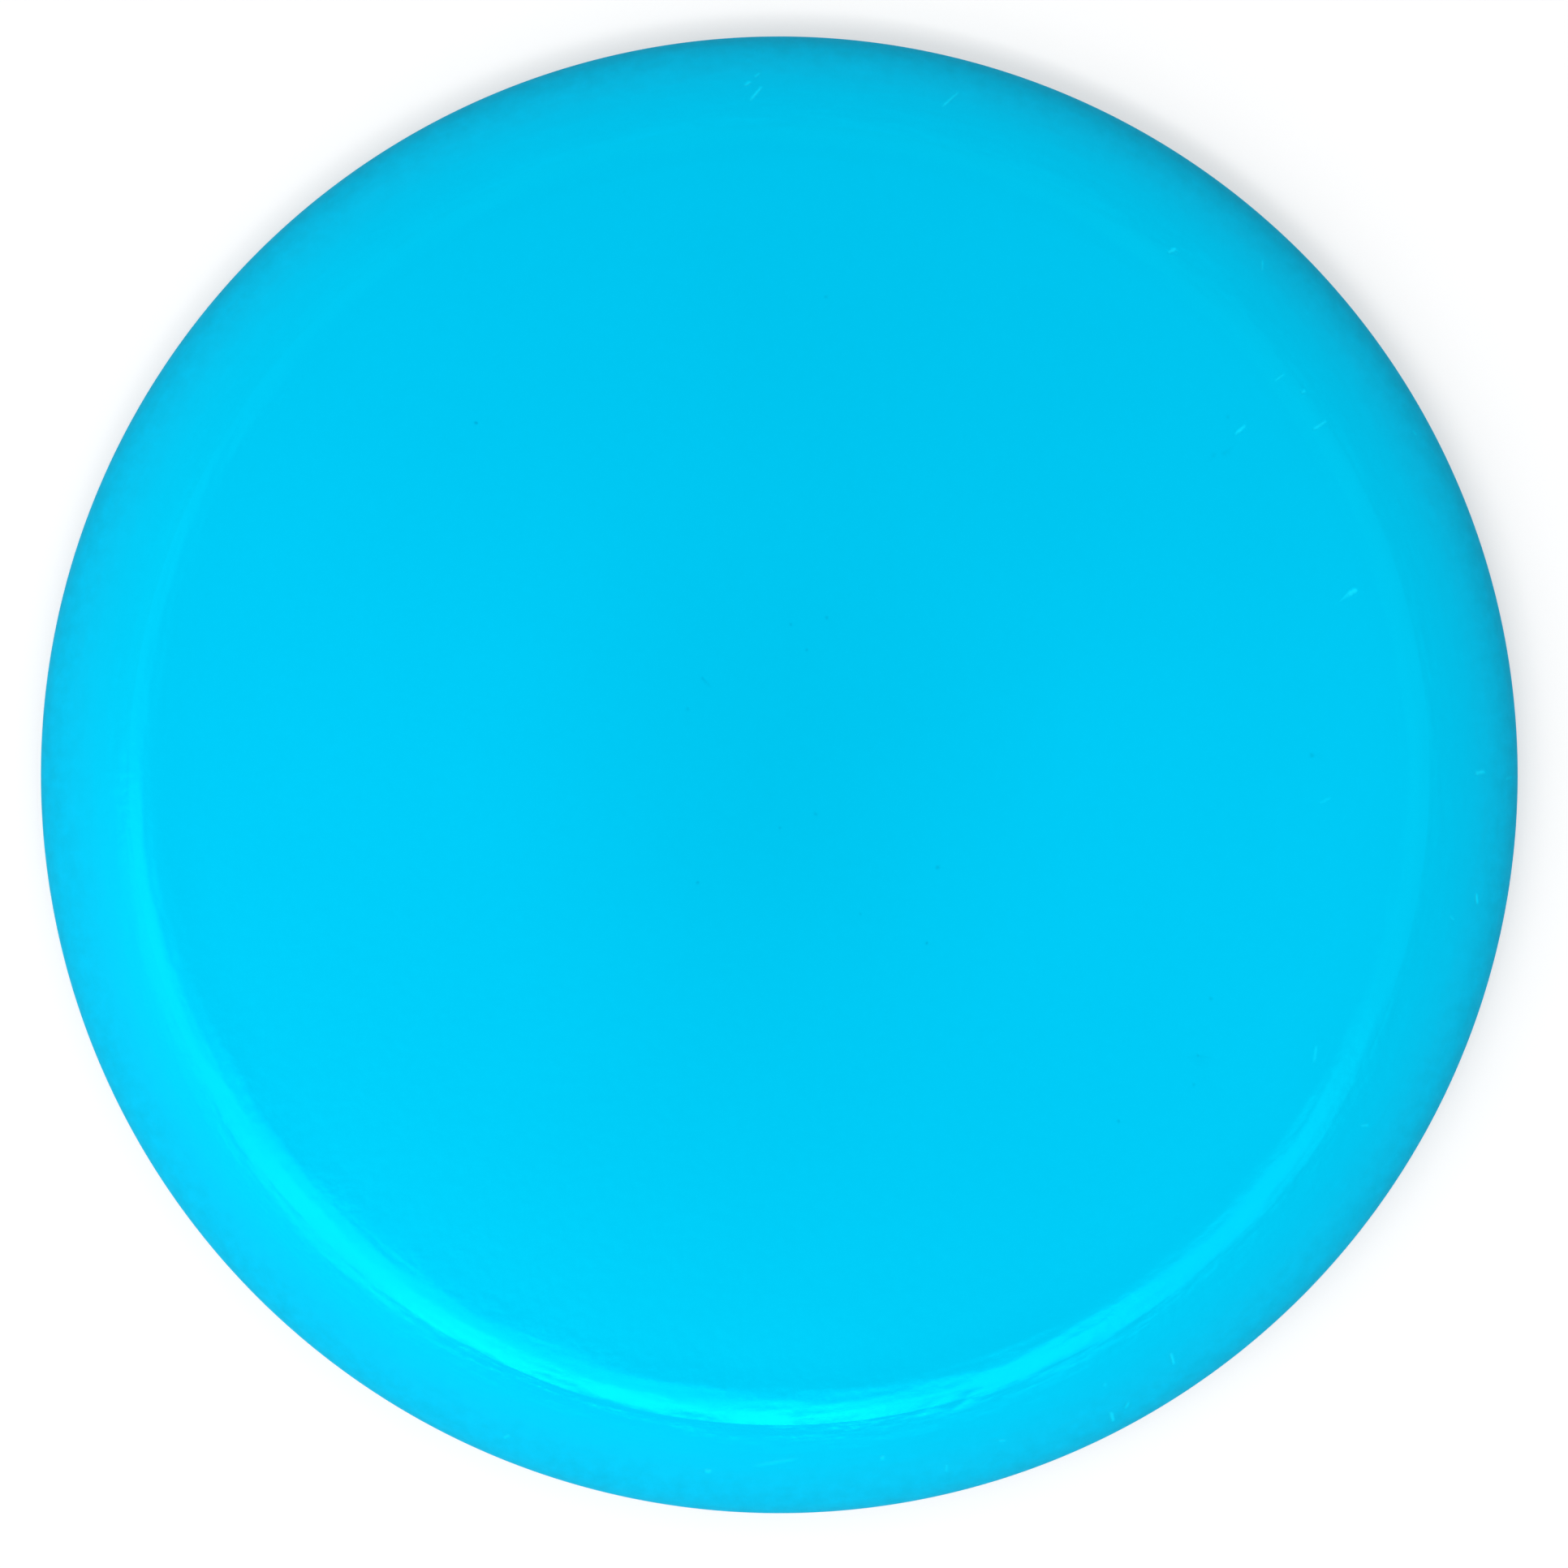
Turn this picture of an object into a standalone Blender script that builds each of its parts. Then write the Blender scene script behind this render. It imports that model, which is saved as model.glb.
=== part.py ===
"""A flying disc moulded in two shots.

The flight plate is moulded first: a low dome with a wall that turns down inside the rim. The outer rim is
moulded round it. Keys on the plate's wall stand in pockets of the rim, so that the rim can neither turn on
the plate nor lift off it.

Sizes are in metres. The disc lies on z = 0 with its axis on Z and its dome up.
"""

import math

import bmesh
import bpy
from mathutils import Vector
from mathutils.geometry import interpolate_bezier

# The disc
DIAMETER = 0.217
HEIGHT = 0.018
RIM_WIDTH = 0.013

# Flight plate: a low dome, whose shoulder rolls over on a circle just inside the seam
DOME_RISE = 0.0022
DOME_POWER = 1.9
ROLL_WIDTH = 0.0056
ROLL_RADIUS = 0.034
PLATE_THICKNESS = 0.0023
WALL_THICKNESS = 0.003
WALL_DRAFT = 0.0005
INNER_CORNER = 0.003
GRIP_ROUND = 0.0008
GATE_RADIUS = 0.004
GATE_HEIGHT = 0.0004

# Outer rim: angles are slopes below the horizontal, and a run is how far the curve holds its end direction
SEAM_INSET = 0.0139
WING_RUN = 0.0105
NOSE_HEIGHT = 0.0045
NOSE_RUN = 0.0045
LOWER_NOSE_RUN = 0.0028
LOWER_WING_ANGLE = math.radians(12)
LOWER_WING_RUN = 0.0036
FOOT_WIDTH = 0.0046

# Joint between the two shots
JOINT_CLEARANCE = 0.0003
LIP_THICKNESS = 0.0012
LEDGE_DROP = 0.0022
KEY_COUNT = 24
KEY_WIDTH = 0.0128
KEY_HEIGHT = 0.004
KEY_DEPTH = 0.0022
KEY_DRAFT = 0.0004

# Mesh fineness
DOME_POINTS = 7
ROLL_POINTS = 4
UNDERSIDE_POINTS = 8
WING_POINTS = 11
LOWER_WING_POINTS = 7
FILLET_POINTS = 4
WELD_DISTANCE = 1e-6
SHARP_ANGLE = math.radians(25)

PLATE_COLOUR = (0.0, 0.56, 0.87, 1.0)
RIM_COLOUR = (0.0, 0.54, 0.85, 1.0)
PLASTIC_ROUGHNESS = 0.35

# Places that follow from the sizes
edge_radius = DIAMETER / 2
grip_radius = edge_radius - RIM_WIDTH
grip_foot_radius = grip_radius + WALL_DRAFT
foot_radius = grip_foot_radius + FOOT_WIDTH
wall_radius = grip_radius + WALL_THICKNESS
seam_radius = edge_radius - SEAM_INSET
roll_start = seam_radius - ROLL_WIDTH
roll_slope = math.atan(DOME_RISE * DOME_POWER / roll_start)
roll_middle_radius = roll_start - ROLL_RADIUS * math.sin(roll_slope)
roll_middle_height = HEIGHT - DOME_RISE - ROLL_RADIUS * math.cos(roll_slope)
key_pitch = 2 * math.pi / KEY_COUNT


def crown(radius):
    """Height of the plate's upper face at a radius."""
    if radius <= roll_start:
        return HEIGHT - DOME_RISE * (radius / roll_start) ** DOME_POWER
    return roll_middle_height + math.sqrt(ROLL_RADIUS**2 - (radius - roll_middle_radius) ** 2)


def underside(radius):
    """Height of the plate's lower face at a radius."""
    return crown(radius) - PLATE_THICKNESS


ledge_top = crown(seam_radius) - LIP_THICKNESS
ledge_slope = LEDGE_DROP / (wall_radius - seam_radius)


def ledge(radius):
    """Height of the plate's ledge, which carries the rim's lip, at a radius."""
    return ledge_top - ledge_slope * (radius - seam_radius)


def lip_underside(radius):
    """Height of the rim's lip above the ledge, the joint's clearance away from it."""
    return ledge(radius) + JOINT_CLEARANCE * math.hypot(1, ledge_slope)


def curve(start, start_direction, end, end_direction, points):
    """Points of one smooth curve that leaves start and reaches end along the two directions."""
    handle_in = Vector(start) + Vector(start_direction)
    handle_out = Vector(end) - Vector(end_direction)
    return [tuple(point) for point in interpolate_bezier(start, handle_in, handle_out, end, points)]


def fillet(before, corner, after, reach):
    """Points of a round corner that starts and ends a reach away from the sharp one."""
    corner = Vector(corner)
    to_start = (Vector(before) - corner).normalized() * reach
    to_end = (Vector(after) - corner).normalized() * reach
    roundness = 0.55
    return curve(corner + to_start, -to_start * roundness, corner + to_end, to_end * roundness, FILLET_POINTS)


def heading(angle, run):
    """A direction outwards and down at an angle, as long as the run."""
    return (run * math.cos(angle), -run * math.sin(angle))


def key_band(grow):
    """Heights of the top and bottom of the keys, or of pockets that are larger all round."""
    reach = KEY_HEIGHT / 2 + grow
    return NOSE_HEIGHT + reach, NOSE_HEIGHT - reach


def key_half_angle(grow):
    """Half the angle that a key takes up on the wall, or a pocket that is larger all round."""
    return (KEY_WIDTH / 2 + grow) / wall_radius


def plate_outline():
    """Half section of the flight plate, from the top of its axis round to the bottom of it."""
    radii = [roll_start * step / DOME_POINTS for step in range(DOME_POINTS)]
    radii += [roll_start + ROLL_WIDTH * step / ROLL_POINTS for step in range(ROLL_POINTS + 1)]
    dome = [(radius, crown(radius)) for radius in radii]
    key_top, key_bottom = key_band(0)
    outer_wall = [
        (seam_radius, ledge_top),
        (wall_radius, ledge(wall_radius)),
        (wall_radius, key_top),
        (wall_radius, key_bottom),
        (wall_radius, 0),
    ]
    inner_top = (grip_radius, underside(grip_radius))
    inner_foot = (grip_foot_radius, 0)
    grip_edge = fillet(outer_wall[-1], inner_foot, inner_top, GRIP_ROUND)
    underside_end = grip_radius - INNER_CORNER
    inner_corner = fillet(inner_foot, inner_top, (underside_end, underside(underside_end)), INNER_CORNER)
    below = []
    for step in range(UNDERSIDE_POINTS):
        turn = math.pi / 2 * (1 - step / UNDERSIDE_POINTS)
        radius = GATE_RADIUS + (underside_end - GATE_RADIUS) * math.sin(turn)
        below.append((radius, underside(radius)))
    gate_face = underside(0) - GATE_HEIGHT
    gate = [
        (GATE_RADIUS, underside(GATE_RADIUS)),
        (GATE_RADIUS - GATE_HEIGHT, gate_face),
        (0, gate_face),
    ]
    return dome + outer_wall + grip_edge + inner_corner[:-1] + below + gate


def rim_outline():
    """Section of the outer rim, from the top seam over the wing and the foot and back up the joint."""
    inner_radius = wall_radius + JOINT_CLEARANCE
    lip_radius = seam_radius + JOINT_CLEARANCE
    nose = (edge_radius, NOSE_HEIGHT)
    wing_angle = math.asin((lip_radius - roll_middle_radius) / ROLL_RADIUS)
    wing = curve(
        (lip_radius, crown(lip_radius)),
        heading(wing_angle, WING_RUN),
        nose,
        (0, -NOSE_RUN),
        WING_POINTS,
    )
    lower_wing = curve(
        nose,
        (0, -LOWER_NOSE_RUN),
        (foot_radius, 0),
        heading(math.pi - LOWER_WING_ANGLE, LOWER_WING_RUN),
        LOWER_WING_POINTS,
    )
    pocket_top, pocket_bottom = key_band(JOINT_CLEARANCE)
    joint = [
        (inner_radius, 0),
        (inner_radius, pocket_bottom),
        (inner_radius, pocket_top),
        (inner_radius, lip_underside(inner_radius)),
        (lip_radius, lip_underside(lip_radius)),
    ]
    return wing + lower_wing[1:] + joint


def turned(outline, closed, grow):
    """The outline turned about Z, with a station at both sides and at the middle of every key or pocket."""
    mesh = bmesh.new()
    points = [mesh.verts.new((radius, 0, height)) for radius, height in outline]
    for first, second in zip(points, points[1:]):
        mesh.edges.new((first, second))
    if closed:
        mesh.edges.new((points[-1], points[0]))
    half_key = key_half_angle(grow)
    half_gap = key_pitch / 2 - half_key
    section = points + mesh.edges[:]
    for turn in (half_key, half_gap, half_gap, half_key) * KEY_COUNT:
        spun = bmesh.ops.spin(mesh, geom=section, axis=(0, 0, 1), cent=(0, 0, 0), angle=turn, steps=1)
        section = spun["geom_last"]
    bmesh.ops.remove_doubles(mesh, verts=mesh.verts[:], dist=WELD_DISTANCE)
    bmesh.ops.recalc_face_normals(mesh, faces=mesh.faces[:])
    return mesh


def draw_out_keys(mesh, radius, grow):
    """Extrude the wall's faces at every key or pocket outwards, drafted towards its middle."""
    top, bottom = key_band(grow)
    chosen = []
    for face in mesh.faces:
        middle = face.calc_center_median()
        from_key = math.remainder(math.atan2(middle.y, middle.x), key_pitch)
        on_wall = all(abs(point.co.xy.length - radius) < WELD_DISTANCE for point in face.verts)
        if on_wall and bottom < middle.z < top and abs(from_key) < key_half_angle(grow):
            chosen.append(face)
    edges = {edge for face in chosen for edge in face.edges}
    drawn = bmesh.ops.extrude_face_region(mesh, geom=chosen + list(edges))
    for point in drawn["geom"]:
        if isinstance(point, bmesh.types.BMVert):
            point.co.xy *= (radius + KEY_DEPTH) / radius
            point.co.z -= math.copysign(KEY_DRAFT, point.co.z - NOSE_HEIGHT)
    bmesh.ops.recalc_face_normals(mesh, faces=mesh.faces[:])


def plastic(name, colour):
    """A glossy moulded plastic."""
    material = bpy.data.materials.new(name)
    material.use_nodes = True
    shader = material.node_tree.nodes["Principled BSDF"]
    shader.inputs["Base Color"].default_value = colour
    shader.inputs["Roughness"].default_value = PLASTIC_ROUGHNESS
    shader.inputs["Metallic"].default_value = 0.0
    material.diffuse_color = colour
    return material


def finished(name, mesh, material, carrier):
    """A named object of the mesh, shaded smooth up to the sharp angle and carried by the disc's empty."""
    data = bpy.data.meshes.new(name)
    mesh.to_mesh(data)
    mesh.free()
    data.materials.append(material)
    data.shade_smooth()
    data.set_sharp_from_angle(angle=SHARP_ANGLE)
    piece = bpy.data.objects.new(name, data)
    piece.parent = carrier
    bpy.context.scene.collection.objects.link(piece)
    return piece


def build_flight_plate(carrier):
    mesh = turned(plate_outline(), closed=False, grow=0)
    draw_out_keys(mesh, wall_radius, grow=0)
    return finished("flight_plate", mesh, plastic("plate_plastic", PLATE_COLOUR), carrier)


def build_outer_rim(carrier):
    mesh = turned(rim_outline(), closed=True, grow=JOINT_CLEARANCE)
    draw_out_keys(mesh, wall_radius + JOINT_CLEARANCE, grow=JOINT_CLEARANCE)
    return finished("outer_rim", mesh, plastic("rim_plastic", RIM_COLOUR), carrier)


def main():
    for thing in list(bpy.data.objects):
        bpy.data.objects.remove(thing, do_unlink=True)
    carrier = bpy.data.objects.new("flying_disc", None)
    bpy.context.scene.collection.objects.link(carrier)
    build_flight_plate(carrier)
    build_outer_rim(carrier)


main()
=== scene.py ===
"""Looks of a flying disc that is moulded in two shots: its flight plate, its outer rim and a plain stage.

Laid out as a Blender add-on and run as a script. Sizes are in metres. The disc lies on z = 0 with its axis
on Z and its dome up.
"""

import math
from collections import namedtuple

import bmesh
import bpy
from bpy.props import FloatProperty, FloatVectorProperty, IntProperty, PointerProperty
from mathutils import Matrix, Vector, noise
from mathutils.geometry import interpolate_bezier


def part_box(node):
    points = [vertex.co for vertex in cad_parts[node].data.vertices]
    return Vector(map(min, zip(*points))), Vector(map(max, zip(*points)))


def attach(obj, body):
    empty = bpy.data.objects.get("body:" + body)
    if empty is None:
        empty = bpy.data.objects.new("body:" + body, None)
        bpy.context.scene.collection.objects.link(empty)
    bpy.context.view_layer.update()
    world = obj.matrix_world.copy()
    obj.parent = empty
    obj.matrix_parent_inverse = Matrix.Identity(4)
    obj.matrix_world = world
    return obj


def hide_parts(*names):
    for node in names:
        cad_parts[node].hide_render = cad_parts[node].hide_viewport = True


bl_info = {
    "name": "Flying Disc",
    "version": (1, 0, 0),
    "blender": (4, 5, 0),
    "location": "3D View > Sidebar > Flying Disc",
    "description": "Models a two-shot flying disc, its worn plastic and a plain studio stage",
    "category": "Add Mesh",
}

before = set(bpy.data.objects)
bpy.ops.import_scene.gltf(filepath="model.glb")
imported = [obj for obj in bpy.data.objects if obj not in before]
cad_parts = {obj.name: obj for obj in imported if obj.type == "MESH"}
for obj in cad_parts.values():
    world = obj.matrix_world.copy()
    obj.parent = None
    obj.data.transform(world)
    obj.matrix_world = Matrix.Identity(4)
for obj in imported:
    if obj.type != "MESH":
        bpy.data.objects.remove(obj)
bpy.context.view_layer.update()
PLATE_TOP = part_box("flight_plate")[1].z
RIM_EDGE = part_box("outer_rim")[1].x

MILLIMETRE = 0.001
WELD_DISTANCE = 1e-6
FULL_TURN = 2 * math.pi
SMOOTH_ANGLE = math.radians(30)

# Least upward part of a normal on the upper face, which takes the wear
UPWARD = 0.1

# How far round a mark the faces are divided, in millimetres
PLATE_MARGIN = 0.9
RIM_MARGIN = 0.5

# Ragged edges of nicks and specks: grains per metre, and how far they stray, as shares of a half width
NICK_GRAIN = 2500
NICK_STRAY = 0.35
SPECK_GRAIN = 3000
SPECK_STRAY = 0.4

# Textures of the plastic: scales per metre, and sizes of a scuff in metres
CLOUD_SCALE = 40.0
PEEL_SCALE = 700.0
MOTTLE_SCALE = 450.0
GRAIN_SCALE = 20000.0
SCUFF_LENGTH = 0.006
SCUFF_WIDTH = 0.0006

# Widths and depths of the light panels, and the floor's side
KEY_PANEL = (0.56, 0.12)
TOP_PANEL = (0.57, 0.3)
HIGH_PANEL = (0.42, 0.34)
LOW_PANEL = (0.9, 0.7)
FLOOR_SIDE = 30.0

# Wear that is pressed into the plastic: places seen from above, in millimetres from the axis, and degrees
Nick = namedtuple("Nick", "x y length direction width strength")
Speck = namedtuple("Speck", "x y size strength")
Dent = namedtuple("Dent", "x y length direction width depth")

NICKS = (
    Nick(-3.4, 99.2, 3.0, 51, 0.42, 1.0),
    Nick(-4.6, 100.7, 1.2, 37, 0.48, 0.9),
    Nick(-3.2, 102.0, 1.1, 44, 0.36, 0.7),
    Nick(24.9, 98.4, 3.5, 43, 0.36, 1.0),
    Nick(57.1, 76.2, 1.4, 29, 0.54, 1.0),
    Nick(70.4, 74.3, 1.8, 88, 0.36, 0.6),
    Nick(67.0, 50.1, 2.2, 43, 0.48, 0.9),
    Nick(72.7, 57.7, 1.9, 37, 0.36, 0.7),
    Nick(76.2, 55.7, 0.8, 27, 0.60, 0.7),
    Nick(78.6, 50.8, 2.5, 32, 0.48, 0.9),
    Nick(92.8, 49.9, 0.9, 126, 0.36, 0.5),
    Nick(83.3, 26.5, 1.7, 31, 0.72, 1.2),
    Nick(102.2, 0.3, 1.7, 10, 0.60, 1.0),
    Nick(106.7, -0.5, 1.2, 18, 0.48, 0.6),
    Nick(101.7, -18.1, 1.7, 94, 0.42, 1.0),
    Nick(98.0, -20.9, 1.0, 136, 0.36, 0.5),
    Nick(79.3, -3.8, 2.1, 28, 0.48, 0.3),
    Nick(77.9, -40.6, 2.7, 83, 0.42, 0.5),
    Nick(85.2, -51.1, 1.2, 0, 0.48, 0.6),
    Nick(57.3, -85.2, 1.9, 104, 0.48, 1.0),
    Nick(48.6, -93.8, 1.7, 107, 0.60, 1.2),
    Nick(50.8, -92.1, 1.3, 63, 0.48, 0.7),
    Nick(47.4, -88.9, 0.7, 60, 0.48, 0.4),
    Nick(32.5, -97.1, 1.1, 2, 0.36, 0.6),
    Nick(24.4, -101.2, 1.2, 91, 0.48, 0.6),
    Nick(15.0, -99.5, 0.7, 10, 0.60, 0.7),
    Nick(-0.5, -100.1, 6.9, 10, 0.60, 0.35),
    Nick(-10.4, -101.5, 1.1, 0, 0.60, 0.8),
    Nick(-39.8, -96.6, 1.1, 23, 0.48, 0.7),
)

SPECKS = (
    Speck(-44.0, 51.1, 0.55, 1.2),
    Speck(1.7, 21.8, 0.50, 1.0),
    Speck(6.9, 22.8, 0.50, 0.8),
    Speck(4.0, 18.1, 0.50, 0.6),
    Speck(-11.1, 14.0, 0.50, 0.7),
    Speck(-13.3, 9.5, 0.60, 0.5),
    Speck(5.3, -5.7, 0.60, 0.7),
    Speck(0.1, -7.7, 0.45, 0.7),
    Speck(-11.8, -15.6, 0.55, 0.9),
    Speck(23.0, -13.4, 0.60, 1.0),
    Speck(11.8, -20.2, 0.45, 0.6),
    Speck(21.4, -24.4, 0.50, 0.9),
    Speck(77.4, 2.8, 0.70, 0.8),
    Speck(62.7, -32.5, 0.55, 0.7),
    Speck(60.8, -40.8, 0.55, 0.7),
    Speck(60.2, -45.0, 0.60, 0.5),
    Speck(49.3, -50.3, 0.60, 0.7),
    Speck(6.8, 69.4, 0.50, 0.8),
    Speck(63.1, 46.4, 0.90, 0.3),
    Speck(64.7, 46.7, 0.90, 0.3),
    Speck(65.2, 52.0, 0.80, 0.3),
)

DENTS = (
    Dent(27.1, -90.8, 5.5, 38, 1.5, 0.050),
    Dent(21.8, -91.9, 3.2, 30, 1.3, 0.025),
    Dent(1.8, -92.6, 3.4, 20, 1.8, 0.030),
    Dent(-13.0, -93.5, 5.0, 172, 2.0, 0.015),
    Dent(61.0, 72.5, 8.0, 130, 6.0, 0.080),
    Dent(-88.0, 30.0, 10.0, 75, 8.0, 0.060),
)


def length(name, description, default):
    """A size in metres, as a property."""
    return FloatProperty(
        name=name,
        description=description,
        default=default,
        min=0.0,
        precision=5,
        subtype="DISTANCE",
        unit="LENGTH",
    )


def turn(name, description, degrees):
    """An angle, given in degrees, as a property."""
    return FloatProperty(
        name=name, description=description, default=math.radians(degrees), subtype="ANGLE", unit="ROTATION"
    )


def share(name, description, default):
    """A part of one, as a property."""
    return FloatProperty(
        name=name, description=description, default=default, min=0.0, max=1.0, subtype="FACTOR"
    )


def level(name, description, default):
    """A number without a unit, as a property."""
    return FloatProperty(name=name, description=description, default=default, min=0.0)


def count(name, description, default):
    """A whole number, as a property."""
    return IntProperty(name=name, description=description, default=default, min=1)


def colour(name, description, default):
    """A linear colour, as a property."""
    return FloatVectorProperty(
        name=name, description=description, default=default, size=3, min=0.0, max=1.0, subtype="COLOR"
    )


class DiscShape(bpy.types.PropertyGroup):
    """Sizes of the two mouldings."""

    height: length("Height", "From the foot to the top of the dome", PLATE_TOP)
    edge_radius: length("Edge radius", "From the axis to the nose of the rim", RIM_EDGE)
    seam_radius: length("Seam radius", "From the axis to the seam between the plate and the rim", 0.0946)
    dome_rise: length("Dome rise", "How far the plate falls from its middle to where it rolls over", 0.0022)
    dome_power: level("Dome power", "2 is a round dome, 1 is a cone", 1.9)
    roll_width: length("Roll width", "How far from the seam the plate starts to roll over", 0.0056)
    roll_radius: length("Roll radius", "Radius of the roll at the plate's shoulder", 0.034)
    plate_thickness: length("Plate thickness", "Thickness of the flight plate", 0.0023)
    grip_radius: length("Grip radius", "From the axis to the wall's inside, at its top", 0.0955)
    grip_foot_radius: length("Grip foot radius", "From the axis to the wall's inside, at its foot", 0.096)
    wall_radius: length("Wall radius", "From the axis to the outside of the plate's wall", 0.0985)
    inner_corner: length("Inner corner", "Round between the plate and the inside of its wall", 0.003)
    grip_round: length("Grip round", "Round at the foot of the wall, under the fingers", 0.0008)
    gate_radius: length("Gate radius", "Radius of the moulding gate's stub under the plate", 0.004)
    gate_height: length("Gate height", "How far the gate's stub stands below the plate", 0.0004)
    foot_radius: length("Foot radius", "From the axis to the outer edge of the foot", 0.1006)
    nose_height: length("Nose height", "Height of the rim's outermost edge", 0.0045)
    wing_run: length("Wing run", "How far the wing keeps the slope of the shoulder", 0.0105)
    nose_run: length("Nose run", "How far the nose stays upright towards the wing", 0.0045)
    lower_nose_run: length("Lower nose run", "How far the nose stays upright towards the foot", 0.0028)
    lower_wing_run: length("Lower wing run", "How far the lower wing keeps its slope at the foot", 0.0036)
    lower_wing_angle: turn("Lower wing angle", "Slope of the lower wing at the foot", 12)
    lip_thickness: length("Lip thickness", "Thickness of the rim's lip at the seam", 0.0012)
    ledge_drop: length("Ledge drop", "How far the plate's ledge falls from the seam to the wall", 0.0022)
    joint_gap: length("Joint gap", "Room left between the two mouldings", 0.00003)
    key_count: count("Keys", "Number of keys that lock the rim to the plate", 24)
    key_height: length("Key height", "Height of a key", 0.004)
    key_depth: length("Key depth", "How far a key stands out of the wall", 0.0022)
    key_share: share("Key share", "Part of the wall's round that the keys take up", 0.48)


class DiscFineness(bpy.types.PropertyGroup):
    """How finely the mouldings are divided."""

    plate_steps: count("Plate steps", "Divisions round the flight plate", 360)
    rim_steps: count("Rim steps", "Divisions round the outer rim", 720)
    dome_points: count("Dome points", "Divisions from the axis to the roll", 40)
    roll_points: count("Roll points", "Divisions across the roll at the shoulder", 20)
    wing_points: count("Wing points", "Divisions down the wing", 52)
    lower_wing_points: count("Lower wing points", "Divisions under the wing", 16)
    underside_points: count("Underside points", "Divisions across the underside of the plate", 16)
    fillet_points: count("Fillet points", "Divisions round an inner corner", 9)
    plate_cuts: count("Plate cuts", "Finer divisions of the plate at a nick or speck", 12)
    rim_cuts: count("Rim cuts", "Finer divisions of the rim at a nick", 5)
    dent_cuts: count("Dent cuts", "Finer divisions of both mouldings at a dent", 2)


class DiscFinish(bpy.types.PropertyGroup):
    """Colours and surface of the plastic."""

    plate_colour: colour("Plate colour", "Pigment of the flight plate", (0.0, 0.54, 0.86))
    rim_colour: colour("Rim colour", "Pigment of the outer rim", (0.0, 0.535, 0.855))
    nick_colour: colour("Nick colour", "Plastic that is stretched pale in a nick", (0.005, 0.70, 1.0))
    speck_colour: colour("Speck colour", "Dust and scorched plastic in a speck", (0.0, 0.40, 0.70))
    gloss_tint: colour("Gloss tint", "Colour that the plastic gives to reflections", (0.0, 1.0, 1.0))
    gloss: share("Gloss", "Strength of the reflection seen head on", 0.6)
    plate_roughness: share("Plate roughness", "Blur of reflections on the plate", 0.24)
    rim_roughness: share("Rim roughness", "Blur of reflections on the rim", 0.29)
    plate_relief: length("Plate relief", "Depth of the fine relief on the plate", 0.00003)
    rim_relief: length("Rim relief", "Depth of the fine relief on the rim", 0.000045)
    # Painted sheen: these lighter sectors are painted into the plate's colour. They stand in for the sheen
    # that its radial flow lines give in the key light.
    painted_sheen_turn: turn("Flow turn", "Direction of the lighter sectors that the plastic's flow has left", 175)
    painted_sheen_gain: share("Flow gain", "How much lighter those sectors are than the ones between them", 0.05)
    gate_shade: share("Gate shade", "How much darker the plastic is over the gate", 0.02)
    gate_spread: length("Gate spread", "Radius at which that shade has faded out", 0.05)
    plate_polish: share("Plate polish", "How much smoother the plate is rubbed at the shoulder", 0.07)
    rim_polish: share("Rim polish", "How much smoother the rim is rubbed at the shoulder", 0.12)
    polish_start: length("Polish start", "Radius at which the polished shoulder sets in", 0.083)
    polish_full: length("Polish full", "Radius from which the shoulder is fully polished", 0.09)
    polish_fade: length("Polish fade", "Radius from which the polish wears off again", 0.0946)
    polish_end: length("Polish end", "Radius at which it has worn off", 0.0986)
    edge_wear: share("Edge wear", "How much rougher the rim is rubbed at its edge", 0.6)
    edge_wear_start: length("Edge wear start", "Radius at which the rubbed edge sets in", 0.098)
    edge_mottle: share("Edge mottle", "How unevenly the rubbed edge is coloured", 0.3)


class DiscWear(bpy.types.PropertyGroup):
    """What moulding and use have pressed into the upper face."""

    wave_height: length("Wave height", "Height of the broad waves of the mouldings", 0.000012)
    wave_size: length("Wave size", "Breadth of the broad waves", 0.018)
    streak_height: length("Streak height", "Height of the waves drawn out round the shoulder", 0.000022)
    streak_width: length("Streak width", "Breadth of those waves, outwards", 0.0011)
    streak_length: length("Streak length", "Length of those waves, round the disc", 0.008)
    streak_start: length("Streak start", "Radius at which those waves set in", 0.082)
    crease_depth: length("Crease depth", "How far the rim has sunk beside the seam at worst", 0.00005)
    crease_reach: length("Crease reach", "How far from the seam the rim comes level again", 0.0006)
    crease_place: turn("Crease place", "Where round the disc the seam is creased most", 266)
    crease_spread: turn("Crease spread", "How far round the disc the crease fades out", 26)
    nick_depth: length("Nick depth", "Depth of a full nick", 0.00007)
    speck_depth: length("Speck depth", "Depth of a full speck", 0.00003)


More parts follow.
